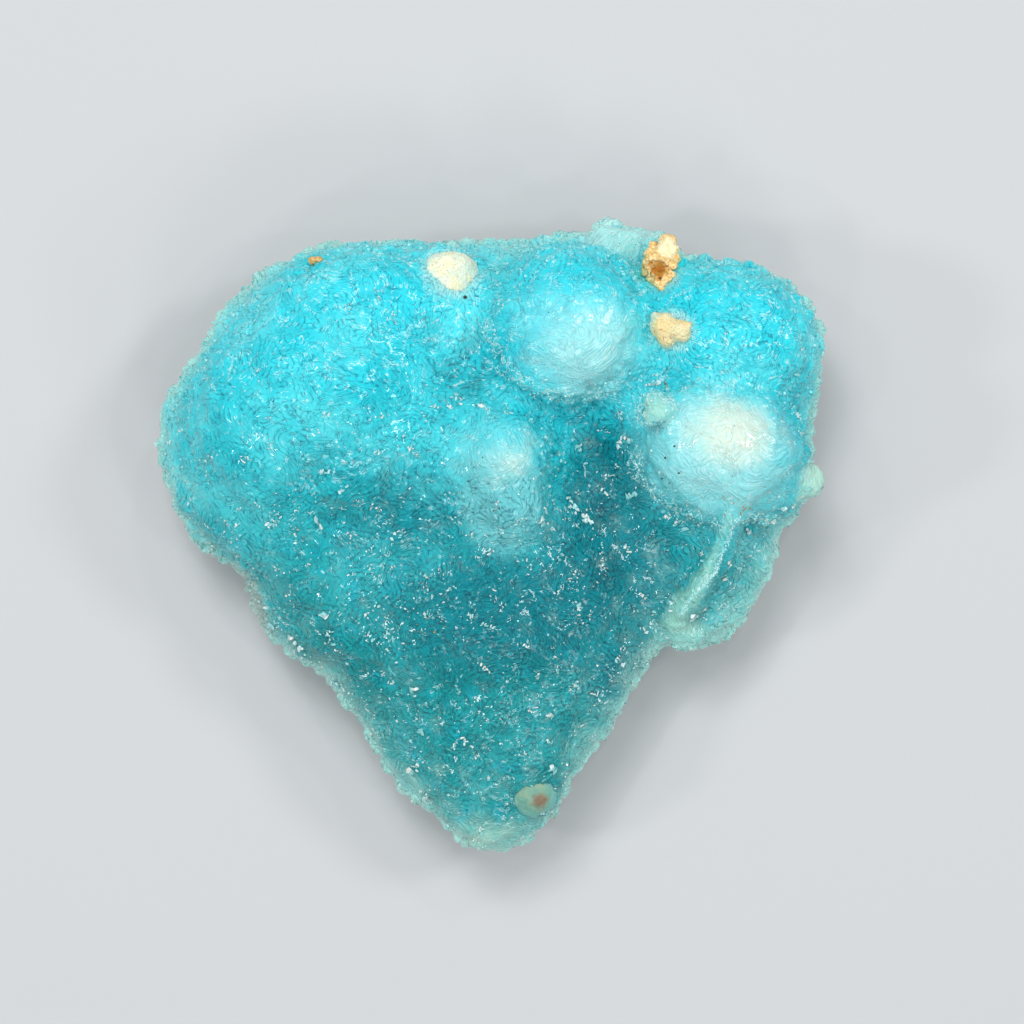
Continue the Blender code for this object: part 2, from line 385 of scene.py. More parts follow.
def near_core(places, core):
    """1 in the middle of a core, falling to 0 at its radii, times its strength."""
    x, y, z, radius_x, radius_y, radius_z, turn, strength = core
    offset = places - np.array((x, y, z))
    angle = math.radians(turn)
    u = offset[:, 0] * math.cos(angle) + offset[:, 1] * math.sin(angle)
    v = -offset[:, 0] * math.sin(angle) + offset[:, 1] * math.cos(angle)
    far = np.sqrt((u / radius_x) ** 2 + (v / radius_y) ** 2 + (offset[:, 2] / radius_z) ** 2)
    return strength * np.clip(1 - far, 0.0, 1.0)


def scallops(places):
    """Rounded lumps with narrow creases between them."""
    total = np.zeros(len(places))
    for size, height in SCALLOPS:
        near = [noise.voronoi(Vector(place) / size)[0] for place in places]
        edge = np.array([second - first for first, second, *_ in near])
        total += height * (smooth_step(edge, 0.0, 0.45) - 0.7)
    return total


def relief(places, layers):
    return sum(height * noise_at(places, size, size) for size, height in layers)


# The thickness over which the look of a thin rim fades, and what counts as high on the face, along y.
THIN_DEPTH = 4.0
HIGH_ON_THE_FACE = (4.0, 16.0)

# Coloured places: x, y, z, radii along x, y and z, turn and strength.
COLOURED_PLACES = {
    "pale": [
        (7, 13.3, 17, 6.4, 6, 8, 0, 0.95),
        (5, 14.6, 17, 6.6, 6.2, 8, 0, 0.55),
        (0.4, 5.9, 16.5, 6.4, 4.6, 8, 15, 0.48),
        (16.2, 5.6, 16, 9.6, 7.6, 9, -16, 0.86),
    ],
    "milky": [(0.8, 2.5, 15.5, 3.9, 4.8, 8, 8, 1.5)],
    "cream": [
        (17.2, 7.4, 17, 4.6, 3.4, 7, -12, 1),
        (23.6, 4.2, 12.4, 2.2, 2, 2.6, 0, 0.8),
        (1.8, 5.3, 16.5, 3.6, 1.5, 8, 46, 0.42),
    ],
    # Deep blue in the valleys between the domes and on the lower slopes: partly the blue's own deeper
    # tone, partly painted shade.
    "deep_and_shaded": [
        (8.4, 2, 12, 4.6, 8.5, 12, 0, 1.15),
        (8.6, -2.4, 12, 7.5, 7.5, 12, 20, 1.1),
        (1, -5.5, 12, 13, 7, 12, 0, 0.9),
        (-1.5, 11.4, 14, 5, 5, 6, 30, 0.4),
        (-6, 2, 12, 10, 6, 8, 0, 0.6),
        (9.5, -9.5, 9, 5.5, 5.5, 8, 0, 0.8),
        (-12, 5.5, 14, 6, 4, 8, 20, 0.3),
    ],
    "greenish": [
        (12, 9, 17.2, 2, 2, 3, 0, 0.7),
        (23.6, 4, 11.6, 2.8, 2.6, 3.4, 0, 1.3),
        (10.3, 22.2, 8, 4.4, 2.4, 6, 0, 0.4),
        (14.2, -6.6, 9.6, 2.6, 2.6, 4, 0, 0.4),
        (-0.5, -22.3, 8, 4, 3.2, 9, 0, 0.6),
    ],
    "lilac": [(-17.8, -4.8, 7, 2, 4.2, 5, 33, 1)],
    "frosted": [
        (-2.8, 19, 13.7, 3.4, 2.8, 4, 0, 1),
        (12.9, 14.8, 16.2, 2.2, 2.2, 4, 0, 1),
        (12.4, 19.4, 13.7, 2.2, 3, 4, 0, 0.7),
        (9.9, 22.4, 9, 4.6, 2.4, 7, 0, 1.2),
    ],
}


def strongest(places, cores):
    return np.max([near_core(places, core) for core in cores], axis=0)


def low_relief(places, front, rim, shares):
    """Heights under the blades: the face's or the back's relief, the ridges and the rim's scallops."""
    low = front * relief(places, RELIEF) + (1 - front) * relief(places, BACK_RELIEF)
    for name, (_, _, height) in RIDGES.items():
        low += front * height * shares[name]
    return low + rim * scallops(places)


def blade_vigour(places, pale, greenish):
    """How high the blades stand, from 0 to 1: lowest where the rows break off and in pale places."""
    breaks = smooth_step(noise_at(places, ROW_BREAKS, 3.3), -0.15, 0.3)
    calm = smooth_step(noise_at(places, CALM_PATCHES, 8.1), -0.25, 0.3)
    vigour = (0.35 + 0.65 * breaks) * (1 - 0.4 * calm) * (1 - 0.7 * smooth_step(pale, 0.1, 0.6))
    return vigour * (1 - 0.85 * smooth_step(greenish, 0.05, 0.3))


def blade_rows(places, facing, front):
    """How near each point is to a crest, from 0 to 1, and how it slides towards a crest or a gap."""
    across = swirl_directions(places, facing)
    spacing = ROW_SPACING * (1 + ROW_UNEVENNESS * noise_at(places, 1.3, 4.4))
    phase = blade_phases(places, facing, across, spacing)
    slid = snapped(phase)
    slide = front * (slid - phase) * spacing / (2 * math.pi)
    return 1 - np.abs(slid) / math.pi, across * slide[:, None]


def mass():
    """The hemimorphite with its crust of blades. Gives its ground back for what sits on it."""
    mesh = even_skin()
    set_coordinates(mesh, rounded_knob(coordinates(mesh)))
    places, facing = coordinates(mesh), normals(mesh)
    front = smooth_step(facing[:, 2], -0.35, 0.1)
    rim = smooth_step(np.abs(facing[:, 2]), 0.75, 0.3)
    shares = ridge_shares(places)
    low = low_relief(places, front, rim, shares)
    crest, slide = blade_rows(places, facing, front)
    tints = {name: strongest(places, cores) for name, cores in COLOURED_PLACES.items()}
    looks = {
        "crest": crest,
        "vigour": blade_vigour(places, tints["pale"], tints["greenish"]),
        "thin": np.exp(-thickness(mesh, places, facing) / THIN_DEPTH),
        **tints,
        "seam": shares["seam"] * front,
        "lips": np.max([shares[name] for name in RIDGES if name != "seam"], axis=0) * front,
        "face": front,
        "rim": rim * smooth_step(facing[:, 2], -0.4, 0.0),
        "high": smooth_step(places[:, 1], *HIGH_ON_THE_FACE),
    }
    rise = front * crest * looks["vigour"]
    moved = places + facing * (low + ROW_HEIGHT * (rise - ROW_ROOT))[:, None] + slide
    moved[:, 2] = np.maximum(moved[:, 2], 0.0)
    set_coordinates(mesh, moved)
    for name, values in looks.items():
        set_attribute(mesh, name, values)
    smooth(mesh)
    mesh.materials.clear()
    mesh.materials.append(hemimorphite_finish())
    ground = Ground(mesh, moved, looks)
    made = new_object("crystal_mass", thinned(mesh))
    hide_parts("hemimorphite")
    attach(made, "root")
    return ground


class Ground:
    """The finished skin of the mass, for what sits on it."""

    def __init__(self, mesh, places, looks):
        self.places = places
        self.looks = looks
        self.facing = normals(mesh)
        faces = [tuple(face.vertices) for face in mesh.polygons]
        self.tree = BVHTree.FromPolygons([Vector(place) for place in places], faces)

    def below(self, x, y):
        return self.tree.ray_cast(Vector((x, y, SKY)), Vector((0, 0, -1)))[:2]

    def top(self, x, y):
        """The highest point of the skin at x and y, and its normal."""
        spot, normal = self.below(x, y)
        return self.seat(x, y) if spot is None else (spot, normal)

    def seat(self, x, y):
        """The face's middle spot and direction over a small patch round x and y."""
        steps = (-SEAT_REACH, 0.0, SEAT_REACH)
        hits = [self.below(x + side, y + up) for side in steps for up in steps]
        hits = [hit for hit in hits if hit[0] is not None]
        if not hits:
            return self.tree.find_nearest(Vector((x, y, RIM_LEVEL)))[:2]
        spot, facing = (sum((hit[part] for hit in hits), Vector()) / len(hits) for part in (0, 1))
        return spot, facing.normalized()


# Crystal plates and grains that lie scattered on the mass.

def turned_basis(random, normal, tilt):
    """Three directions at right angles, the last one the normal tilted by about the given angle."""
    lean = Vector(normal).normalized()
    lean.rotate(Matrix.Rotation(random.normal(0.0, tilt), 3, lean.orthogonal()))
    lean.rotate(Matrix.Rotation(random.uniform(0, 2 * math.pi), 3, Vector(normal).normalized()))
    side = lean.orthogonal().normalized()
    side.rotate(Matrix.Rotation(random.uniform(0, 2 * math.pi), 3, lean))
    return np.array(side), np.array(lean.cross(side)), np.array(lean)


def three_rings(corners):
    """The faces of a closed bit whose points are three rings with as many corners each."""
    around = [(index, (index + 1) % corners) for index in range(corners)]
    faces = [tuple(range(corners)), tuple(reversed(range(2 * corners, 3 * corners)))]
    for layer in (0, corners):
        faces += [(layer + a, layer + corners + a, layer + corners + b, layer + b) for a, b in around]
    return faces


def plate(random, spot, normal, size, tilt):
    """A thin closed plate with a few corners, about as large as the size."""
    side, up, lean = turned_basis(random, normal, tilt)
    corners = random.integers(4, 7)
    angles = (np.arange(corners) + random.uniform(-0.3, 0.3, corners)) * 2 * math.pi / corners
    reach = size / 2 * random.uniform(0.65, 1.15, corners)
    stretch = random.uniform(0.25, 0.7)
    ring = np.cos(angles)[:, None] * side * stretch + np.sin(angles)[:, None] * up
    ring = ring * reach[:, None]
    thick = lean * size * random.uniform(0.1, 0.22)
    points = np.concatenate((spot + ring * 0.85 + thick, spot + ring, spot + ring * 0.7 - thick))
    return points, three_rings(corners)


def grain(random, spot, normal, size, tilt):
    """A small closed lump with uneven corners."""
    side, up, lean = turned_basis(random, normal, tilt)
    corners = 5
    points = []
    for height, reach in ((0.42, 0.55), (0.0, 1.0), (-0.42, 0.6)):
        start = random.uniform(0, 2 * math.pi)
        for number in range(corners):
            angle = start + 2 * math.pi * number / corners
            far = size / 2 * reach * random.uniform(0.75, 1.2)
            beside = far * (math.cos(angle) * side + math.sin(angle) * up)
            points.append(spot + beside + height * size * lean)
    return np.array(points), three_rings(corners)


def joined_bits(name, bits, finish, shades=None):
    """One piece made of many small closed ones, each with its own shade."""
    points, faces, tones = [], [], []
    count = 0
    for number, (bit_points, bit_faces) in enumerate(bits):
        points.append(bit_points)
        faces += [tuple(count + corner for corner in face) for face in bit_faces]
        tones += [shades[number] if shades is not None else 0.5] * len(bit_points)
        count += len(bit_points)
    points = np.concatenate(points)
    points[:, 2] = np.maximum(points[:, 2], 0.0)
    mesh = bpy.data.meshes.new(name)
    mesh.from_pydata((points * MM).tolist(), [], faces)
    set_attribute(mesh, "shade", tones)
    mesh.materials.append(finish)
    made = new_object(name, mesh)
    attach(made, "root")


# Flakes whose places are plain to see, then how many more there are, large and small.
MARKED_FLAKES = [
    (-0.6, 9.2, 0.5), (-3.1, 9.4, 0.45), (-4.0, 9.3, 0.4), (6.5, 6.4, 0.6), (6.0, 2.2, 0.5),
    (6.9, 1.3, 0.6), (7.2, 1.0, 0.5), (-0.2, -1.2, 0.45), (9.9, 7.0, 0.45), (9.4, 6.7, 0.45),
    (8.6, 4.4, 0.35), (9.9, -0.9, 0.4), (6.3, -5.2, 0.45), (-0.4, -6.4, 0.4), (-10.4, 5.2, 0.35),
    (-8.0, 5.9, 0.35),
]
# Clusters: how many, the fewest and most plates in one, and how far they spread.
CLUSTERS = (330, 3, 9, 0.32)
# A cluster's smallest plates, then the sizes that its largest may have, with the share of each.
PLATE_SIZES = (0.13, 0.28, 0.45, 0.75)
LARGE_SHARES = (0.64, 0.26, 0.1)
# How many there are, with the smallest and largest size. Lip crystals are counted for each ridge.
SINGLE_FLAKES = (560, 0.1, 0.28)
LIP_CRYSTALS = (240, 0.1, 0.28)
RIM_CRYSTALS = (1300, 0.1, 0.3)
# How far the crystals on the seam's crest stray from its line.
CREST_SPREAD = 0.05
# How far bits lean, an angle in radians that most stay under. Clustered plates and specks lean less.
BIT_TILT = 0.7
LOW_TILT = 0.6


def flake_chances(ground):
    """How likely each point is to bear a flake: most in the deep and shaded places and over the lower
    half.
    """
    crowd = smooth_step(noise_at(ground.places, 2.4, 6.6), -0.1, 0.4)
    low = smooth_step(ground.places[:, 1], 12.0, -4.0)
    open_ground = 1 - smooth_step(ground.looks["pale"], 0.1, 0.4)
    chance = (0.08 + 0.7 * ground.looks["deep_and_shaded"] + 0.7 * low) * (0.3 + crowd) * open_ground
    chance = chance * (ground.facing[:, 2] > 0.25)
    return chance / chance.sum()


def cluster(random, ground, spot, normal, count, spread, largest):
    """Angular plates heaped along a short line."""
    side, up, _ = turned_basis(random, normal, 0.0)
    bits = []
    for _ in range(count):
        beside = spot + side * random.normal(0.0, spread) + up * random.normal(0.0, spread * 0.35)
        seat, facing = ground.tree.find_nearest(Vector(beside))[:2]
        size = random.uniform(PLATE_SIZES[0], largest)
        lifted = np.array(seat) + size * 0.1 * np.array(facing)
        bits.append(plate(random, lifted, facing, size, LOW_TILT))
    return bits


def scattered(random, ground, chances, kind, count, small, large):
    """Bits of one kind at points drawn by chance."""
    bits = []
    for index in random.choice(len(ground.places), count, p=chances):
        size = random.uniform(small, large)
        bits.append(kind(random, ground.places[index], ground.facing[index], size, BIT_TILT))
    return bits


def flakes_and_painted_glints(ground):
    """Flakes on the face: clusters of plates and single ones, their white partly painted glint."""
    random = np.random.default_rng(SEED + 1)
    chances = flake_chances(ground)
    bits = []
    for x, y, size in MARKED_FLAKES:
        spot, normal = ground.seat(x, y)
        bits += cluster(random, ground, np.array(spot), normal, 8, size * 0.5, size * 1.2)
    count, fewest, most, spread = CLUSTERS
    for index in random.choice(len(ground.places), count, p=chances):
        reach = spread * random.uniform(0.5, 1.5)
        largest = random.choice(PLATE_SIZES[1:], p=LARGE_SHARES)
        amount = random.integers(fewest, most)
        bits += cluster(random, ground, ground.places[index], ground.facing[index], amount, reach, largest)
    bits += scattered(random, ground, chances, plate, *SINGLE_FLAKES)
    shades = random.uniform(0.0, 1.0, len(bits))
    joined_bits("crystal_flakes_and_painted_glints", bits, flake_and_painted_glint_finish(), shades)


def lip_crystals(ground):
    """Pale crystals scattered along the domes' lips and close together on the seam's crest."""
    random = np.random.default_rng(SEED + 2)
    bits = []
    count, small, large = LIP_CRYSTALS
    for name, (line, half_width, _) in RIDGES.items():
        if name == "seam":
            continue
        steps = [np.array(spot) for spot in line]
        spread = CREST_SPREAD if name == "seam_crest" else half_width * 0.6
        for _ in range(count):
            part = random.integers(len(steps) - 1)
            share = random.uniform()
            x, y = steps[part] * (1 - share) + steps[part + 1] * share + random.normal(0.0, spread, 2)
            spot, normal = ground.top(x, y)
            size = random.uniform(small, large)
            bits.append(plate(random, np.array(spot), normal, size, BIT_TILT))
    shades = random.uniform(0.0, 1.0, len(bits))
    joined_bits("lip_crystals", bits, lip_crystal_finish(), shades)


def rim_crystals(ground):
    """Clear grains close together on the rim, so that its outline is finely toothed."""
    random = np.random.default_rng(SEED + 6)
    chances = ground.looks["rim"] * (0.15 + smooth_step(noise_at(ground.places, 1.4, 2.2), -0.1, 0.3))
    bits = scattered(random, ground, chances / chances.sum(), grain, *RIM_CRYSTALS)
    shades = random.uniform(0.0, 1.0, len(bits))
    joined_bits("rim_crystals", bits, rim_crystal_finish(), shades)


# Specks: x, y, how far they spread, how many, smallest and largest size.
DARK_SPECKS = [
    (-0.6, 4.4, 0.9, 9, 0.08, 0.16), (0.1, 1.6, 0.7, 8, 0.08, 0.15), (12.2, 5.2, 0.9, 6, 0.1, 0.2),
    (-1.8, 17.3, 0.05, 1, 0.3, 0.34), (15.5, 7.5, 1.8, 7, 0.06, 0.12), (9.4, 21.4, 0.9, 3, 0.08, 0.14),
    (3.5, 16.5, 2.5, 5, 0.07, 0.13), (-14.0, 6.0, 4.0, 9, 0.07, 0.12), (0.0, -10.0, 6.0, 22, 0.07, 0.13),
    (-8.0, 12.0, 5.0, 10, 0.07, 0.12), (-11.5, -10.0, 0.3, 2, 0.12, 0.2), (12.0, 18.0, 3.0, 8, 0.07, 0.12),
]
RUST_SPECKS = [
    (18.3, 1.9, 0.45, 26, 0.06, 0.17), (16.9, 2.6, 0.7, 14, 0.05, 0.12), (12.8, 10.9, 0.12, 3, 0.14, 0.24),
    (17.2, -6.3, 0.15, 4, 0.12, 0.2), (-4.3, -6.2, 0.9, 5, 0.1, 0.2), (19.6, 3.2, 0.2, 3, 0.1, 0.16),
]


def specks(name, groups, ground, finish, seed):
    random = np.random.default_rng(SEED + seed)
    bits = []
    for x, y, spread, count, small, large in groups:
        for _ in range(count):
            spot, normal = ground.seat(x + random.normal(0.0, spread), y + random.normal(0.0, spread))
            bits.append(grain(random, np.array(spot), normal, random.uniform(small, large), LOW_TILT))
    joined_bits(name, bits, finish)


# The crumbs of matrix: the size of their faces, and how often each is smoothed.
CRUMB_VOXEL = 0.085
CRUMB_SMOOTHING = {
    "limonite_crust": 1,
    "cream_nodule_left": 60,
    "cream_nodule_right": 25,
    "ochre_grain": 4,
    "rusty_nodule": 4,
}
# The lumps that each is built of: x, y, height over the face, and radii.
CRUMB_LUMPS = {
    "cream_nodule_left": [
        (-3.7, 19.4, -0.5, 1.5, 1.3, 0.9), (-1.8, 19.5, -0.5, 1.4, 1.2, 0.9),
        (-2.8, 18.6, -0.55, 1.6, 1.2, 0.9), (-2.7, 19.5, -0.45, 1.6, 1.2, 0.95),
    ],
    "cream_nodule_right": [
        (12.45, 15.05, -0.1, 1.0, 1.0, 0.95), (13.5, 14.65, -0.15, 0.9, 0.8, 0.85),
        (12.65, 14.2, -0.15, 0.85, 0.8, 0.8), (11.85, 15.75, -0.05, 0.4, 0.4, 0.5),
        (14.1, 15.05, 0.0, 0.35, 0.35, 0.4),
    ],
    "ochre_grain": [(-12.9, 19.9, 0.1, 0.42, 0.3, 0.35), (-12.4, 19.95, 0.1, 0.28, 0.24, 0.28)],
    "rusty_nodule": [(3.1, -19.4, -1.0, 1.85, 1.8, 1.4)],
}
# Roughness: size across and height.
CRUMB_ROUGHNESS = {
    "limonite_crust": ((0.5, 0.1), (0.22, 0.1)),
    "cream_nodule_left": ((1.0, 0.1), (0.25, 0.06), (0.13, 0.06)),
    "cream_nodule_right": ((0.8, 0.12), (0.25, 0.08), (0.13, 0.07)),
    "ochre_grain": ((0.3, 0.08),),
    "rusty_nodule": ((0.9, 0.1), (0.25, 0.05)),
}
# The crust's hollow and the knobs at its ends.
CRUST_MIDDLE = (12.25, 19.35)
CRUST_RADII = (0.95, 1.15)
CRUST_KNOBS = [
    (12.8, 21.05, 0.5, 0.68, 0.68, 0.62), (13.1, 20.6, 0.45, 0.5, 0.45, 0.5),
    (11.95, 21.0, 0.25, 0.38, 0.42, 0.4), (11.85, 20.5, 0.35, 0.5, 0.36, 0.45),
    (12.4, 20.6, 0.2, 0.6, 0.5, 0.5), (12.35, 18.0, 0.0, 0.32, 0.4, 0.25),
    (13.5, 20.1, 0.1, 0.32, 0.4, 0.4),
]


def crust_lumps():
    """A cup of grains round a hollow, with its knobs."""
    random = np.random.default_rng(SEED + 3)
    x, y = CRUST_MIDDLE
    lumps = [(x, y, -0.1, 1.05, 1.25, 0.5)]
    for ring, count, height in ((0.78, 13, 0.55), (1.02, 15, 0.2)):
        for number in range(count):
            angle = 2 * math.pi * (number + random.uniform(-0.3, 0.3)) / count
            size = random.uniform(0.22, 0.36)
            across = ring * CRUST_RADII[0] * math.cos(angle)
            along = ring * CRUST_RADII[1] * math.sin(angle)
            lumps.append((x + across, y + along, height + random.uniform(-0.12, 0.12), size, size, size))
    return lumps + CRUST_KNOBS


def lump_mesh(ground, lumps, smoothing):
    """The lumps fused to one closed skin."""
    shape = bmesh.new()
    for x, y, height, *radii in lumps:
        spot, normal = ground.seat(x, y)
        turn = Vector((0, 0, 1)).rotation_difference(normal).to_matrix().to_4x4()
        move = Matrix.Translation((spot + normal * height) * MM) @ turn @ Matrix.Diagonal((*radii, 1.0))
        bmesh.ops.create_icosphere(shape, subdivisions=3, radius=MM, matrix=move)
    return fused(object_of("lumps", shape), CRUMB_VOXEL, smoothing)


def crumb(name, ground, finish):
    """One crumb of lumps, its skin roughened, in place of the solid of that name."""
    lumps = CRUMB_LUMPS[name] if name in CRUMB_LUMPS else crust_lumps()
    mesh = lump_mesh(ground, lumps, CRUMB_SMOOTHING[name])
    places, facing = coordinates(mesh), normals(mesh)
    places = places + facing * relief(places, CRUMB_ROUGHNESS[name])[:, None]
    set_coordinates(mesh, places)
    middle = np.mean(places, axis=0)
    set_attribute(mesh, "out", np.linalg.norm((places - middle)[:, :2], axis=1))
    smooth(mesh)
    mesh.materials.append(finish)
    made = new_object(name + "_detail", mesh)
    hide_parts(name)
    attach(made, "root")


# Materials.

class Nodes:
    """Short calls for building one material's nodes."""

    def __init__(self, name):
        self.material = bpy.data.materials.new(name)
        self.material.use_nodes = True
        self.tree = self.material.node_tree
        self.shader = self.tree.nodes["Principled BSDF"]

    def add(self, kind, **settings):
        node = self.tree.nodes.new(kind)
        for key, value in settings.items():
            setattr(node, key, value)
        return node

    def plug(self, source, socket):
        if isinstance(source, (int, float, tuple)):
            socket.default_value = source
        else:
            self.tree.links.new(source, socket)

    def place(self):
        """Object coordinates in millimetres."""
        coordinate = self.add("ShaderNodeTexCoord").outputs["Object"]
        return self.vector("SCALE", coordinate, 1 / MM)

    def vector(self, operation, first, second):
        node = self.add("ShaderNodeVectorMath", operation=operation)
        self.plug(first, node.inputs[0])
        self.plug(second, node.inputs["Scale"] if operation == "SCALE" else node.inputs[1])
        return node.outputs["Value" if operation == "LENGTH" else "Vector"]

    def math(self, operation, first, second=0.0, third=0.0, clamp=False):
        node = self.add("ShaderNodeMath", operation=operation, use_clamp=clamp)
        for value, socket in zip((first, second, third), node.inputs):
            self.plug(value, socket)
        return node.outputs[0]

    def plus(self, first, second):
        return self.math("ADD", first, second)

    def times(self, first, second):
        return self.math("MULTIPLY", first, second)

    def noise(self, place, size, detail=2.0, roughness=0.5, output="Fac"):
        node = self.add("ShaderNodeTexNoise")
        self.plug(place, node.inputs["Vector"])
        node.inputs["Scale"].default_value = 1 / size
        node.inputs["Detail"].default_value = detail
        node.inputs["Roughness"].default_value = roughness
        return node.outputs[output]

    def uneven(self, place, size, height, roughness=0.5):
        """Noise that goes as far below 0 as above it."""
        share = self.noise(place, size, 3.0, roughness)
        return self.times(self.math("SUBTRACT", share, 0.5), height)

    def bent(self, place, size, detail, reach):
        """The place moved by noise, so that what is drawn there is bent."""
        colour = self.noise(place, size, detail, output="Color")
        return self.vector("ADD", place, self.vector("SCALE", colour, reach))

    def cell_edges(self, place, size):
        """Distance to the nearest edge between rounded cells."""
        node = self.add("ShaderNodeTexVoronoi", feature="DISTANCE_TO_EDGE")
        self.plug(place, node.inputs["Vector"])
        node.inputs["Scale"].default_value = 1 / size
        return node.outputs["Distance"]

    def far_from(self, place, spot, uneven):
        """How far from a spot in x and y, in the spot's radii. The spot is x, y and a radius."""
        x, y, radius = spot
        flat = self.vector("MULTIPLY", self.vector("SUBTRACT", place, (x, y, 0.0)), (1.0, 1.0, 0.0))
        far = self.math("DIVIDE", self.vector("LENGTH", flat, (0, 0, 0)), radius)
        return self.plus(far, uneven)

    def height_on_face(self, place):
        """How far up the face, along y."""
        node = self.add("ShaderNodeSeparateXYZ")
        self.plug(place, node.inputs[0])
        return node.outputs["Y"]

    def attribute(self, name):
        return self.add("ShaderNodeAttribute", attribute_name=name).outputs["Fac"]

    def span(self, value, low, high, new_low=0.0, new_high=1.0):
        """The value's range from low to high, spread smoothly over the new range."""
        node = self.add("ShaderNodeMapRange", interpolation_type="SMOOTHSTEP")
        for source, socket in zip((value, low, high, new_low, new_high), node.inputs):
            self.plug(source, socket)
        return node.outputs[0]

    def mix(self, share, first, second, blend="MIX"):
        node = self.add("ShaderNodeMix", data_type="RGBA", blend_type=blend)
        self.plug(share, node.inputs["Factor"])
        colours = [socket for socket in node.inputs if socket.type == "RGBA"]
        self.plug(first, colours[0])
        self.plug(second, colours[1])
        return [socket for socket in node.outputs if socket.type == "RGBA"][0]

    def tint(self, base, value, low, high, most, colour):
        """The base under a colour that grows up to its most as the value goes from low to high."""
        return self.mix(self.span(value, low, high, 0.0, most), base, colour)

    def bump(self, height, distance):
        node = self.add("ShaderNodeBump")
        self.plug(height, node.inputs["Height"])
        node.inputs["Distance"].default_value = distance * MM
        node.inputs["Strength"].default_value = 1.0
        return node.outputs["Normal"]

    def finish(self, **sockets):
        """The material, with the shader's own sockets set or linked."""
        for name, value in sockets.items():
            self.plug(value, self.shader.inputs[name.replace("_", " ")])
        return self.material


def rgb(red, green, blue):
    """A colour given as it looks on screen, 0 to 255."""
    def linear(value):
        share = value / 255
        return share / 12.92 if share <= 0.04045 else ((share + 0.055) / 1.055) ** 2.4
    return (linear(red), linear(green), linear(blue), 1.0)


def creases(nodes, place):
    """Coarse and fine heights of a crumpled surface, 0 in its creases and up to 1 between them."""
    flow = nodes.bent(place, 3.0, 0.0, 10.0)
    heights = []
    for size in (0.8, 0.45):
        value = nodes.noise(flow, size, 1.0)
        far = nodes.math("ABSOLUTE", nodes.math("SUBTRACT", value, 0.5))
        heights.append(nodes.math("DIVIDE", far, 0.2, clamp=True))
    return heights


def lines(nodes, place, coarse, fine):
    """Painted shade as dark lines in the gaps and creases, painted highlight as light lines on the crests
    and along fine creases, and painted glints as white dashes, each a share from 0 to 1.
    """
    crest = nodes.attribute("crest")
    vigour = nodes.attribute("vigour")
    patchy = nodes.noise(place, 0.8, 2.0, 0.6)
    # Painted shade: darker in the gaps between the blades and along the creases.
    gap = nodes.times(nodes.span(crest, 0.35, 0.0), nodes.span(vigour, 0.15, 0.8, 0.0, 0.8))
    crease_shade = nodes.times(nodes.span(coarse, 0.3, 0.0), nodes.span(patchy, 0.44, 0.62, 0.05, 0.8))
    dark = nodes.math("MAXIMUM", gap, crease_shade)
    cloudy = nodes.attribute("pale")
    for name in ("cream", "greenish", "seam"):
        cloudy = nodes.plus(cloudy, nodes.attribute(name))
    dark = nodes.times(dark, nodes.span(cloudy, 0.05, 0.5, 1.0, 0.35))
    dark = nodes.times(dark, nodes.span(nodes.attribute("face"), 0.0, 0.8, 0.35, 1.0))
    # Painted highlight: light lines along the fine creases and on the blades' crests.
    fine_highlight = nodes.times(nodes.span(fine, 0.3, 0.0), nodes.span(patchy, 0.58, 0.42))
    top = nodes.times(nodes.span(crest, 0.65, 1.0), nodes.span(vigour, 0.1, 0.8, 0.0, 0.5))
    # Painted glints: white dashes along the fine creases, more often high on the face and in cloudy
    # places, fewer where the blue is deep.
    rare = nodes.noise(place, 0.7, 2.0, 0.65)
    favoured = nodes.span(nodes.plus(cloudy, nodes.attribute("high")), 0.2, 0.9)
    often = nodes.math("MULTIPLY_ADD", favoured, 0.065, rare)
    painted_glint = nodes.times(nodes.span(fine, 0.35, 0.05), nodes.span(often, 0.58, 0.68))
    painted_glint = nodes.times(painted_glint, nodes.span(nodes.attribute("deep_and_shaded"), 0.0, 0.8, 1.0, 0.5))
    light = nodes.math("MAXIMUM", top, fine_highlight)
    return dark, nodes.times(light, nodes.span(nodes.attribute("deep_and_shaded"), 0.0, 0.7, 1.0, 0.6)), painted_glint


# Tints of the blue, laid over each other in this order: the look that each follows, its values
# where the tint starts and where it is full, the most that it covers, and its colour.
TINTS = [
    # Deeper blue: partly the blue's own tone, partly painted shade in the valleys and on the lower slopes.
    ("deep_and_shaded", 0.0, 0.6, 0.92, (0, 122, 134)),
    ("deep_and_shaded", 0.75, 1.15, 0.75, (0, 90, 104)),
    # Paler where the mass is thin: painted light shining through the thin rim.
    ("thin", 0.05, 0.55, 0.9, (180, 240, 228)),
    ("milky", 0.0, 0.6, 0.7, (122, 200, 204)),
    ("pale", 0.1, 0.75, 0.92, (168, 232, 234)),
    ("cream", 0.0, 0.8, 0.88, (222, 232, 216)),
    ("greenish", 0.05, 0.6, 0.8, (172, 214, 196)),
    ("frosted", 0.1, 0.6, 0.7, (190, 244, 240)),
    ("lilac", 0.1, 0.6, 0.6, (176, 170, 158)),
    ("seam", 0.0, 0.75, 0.65, (170, 226, 206)),
]


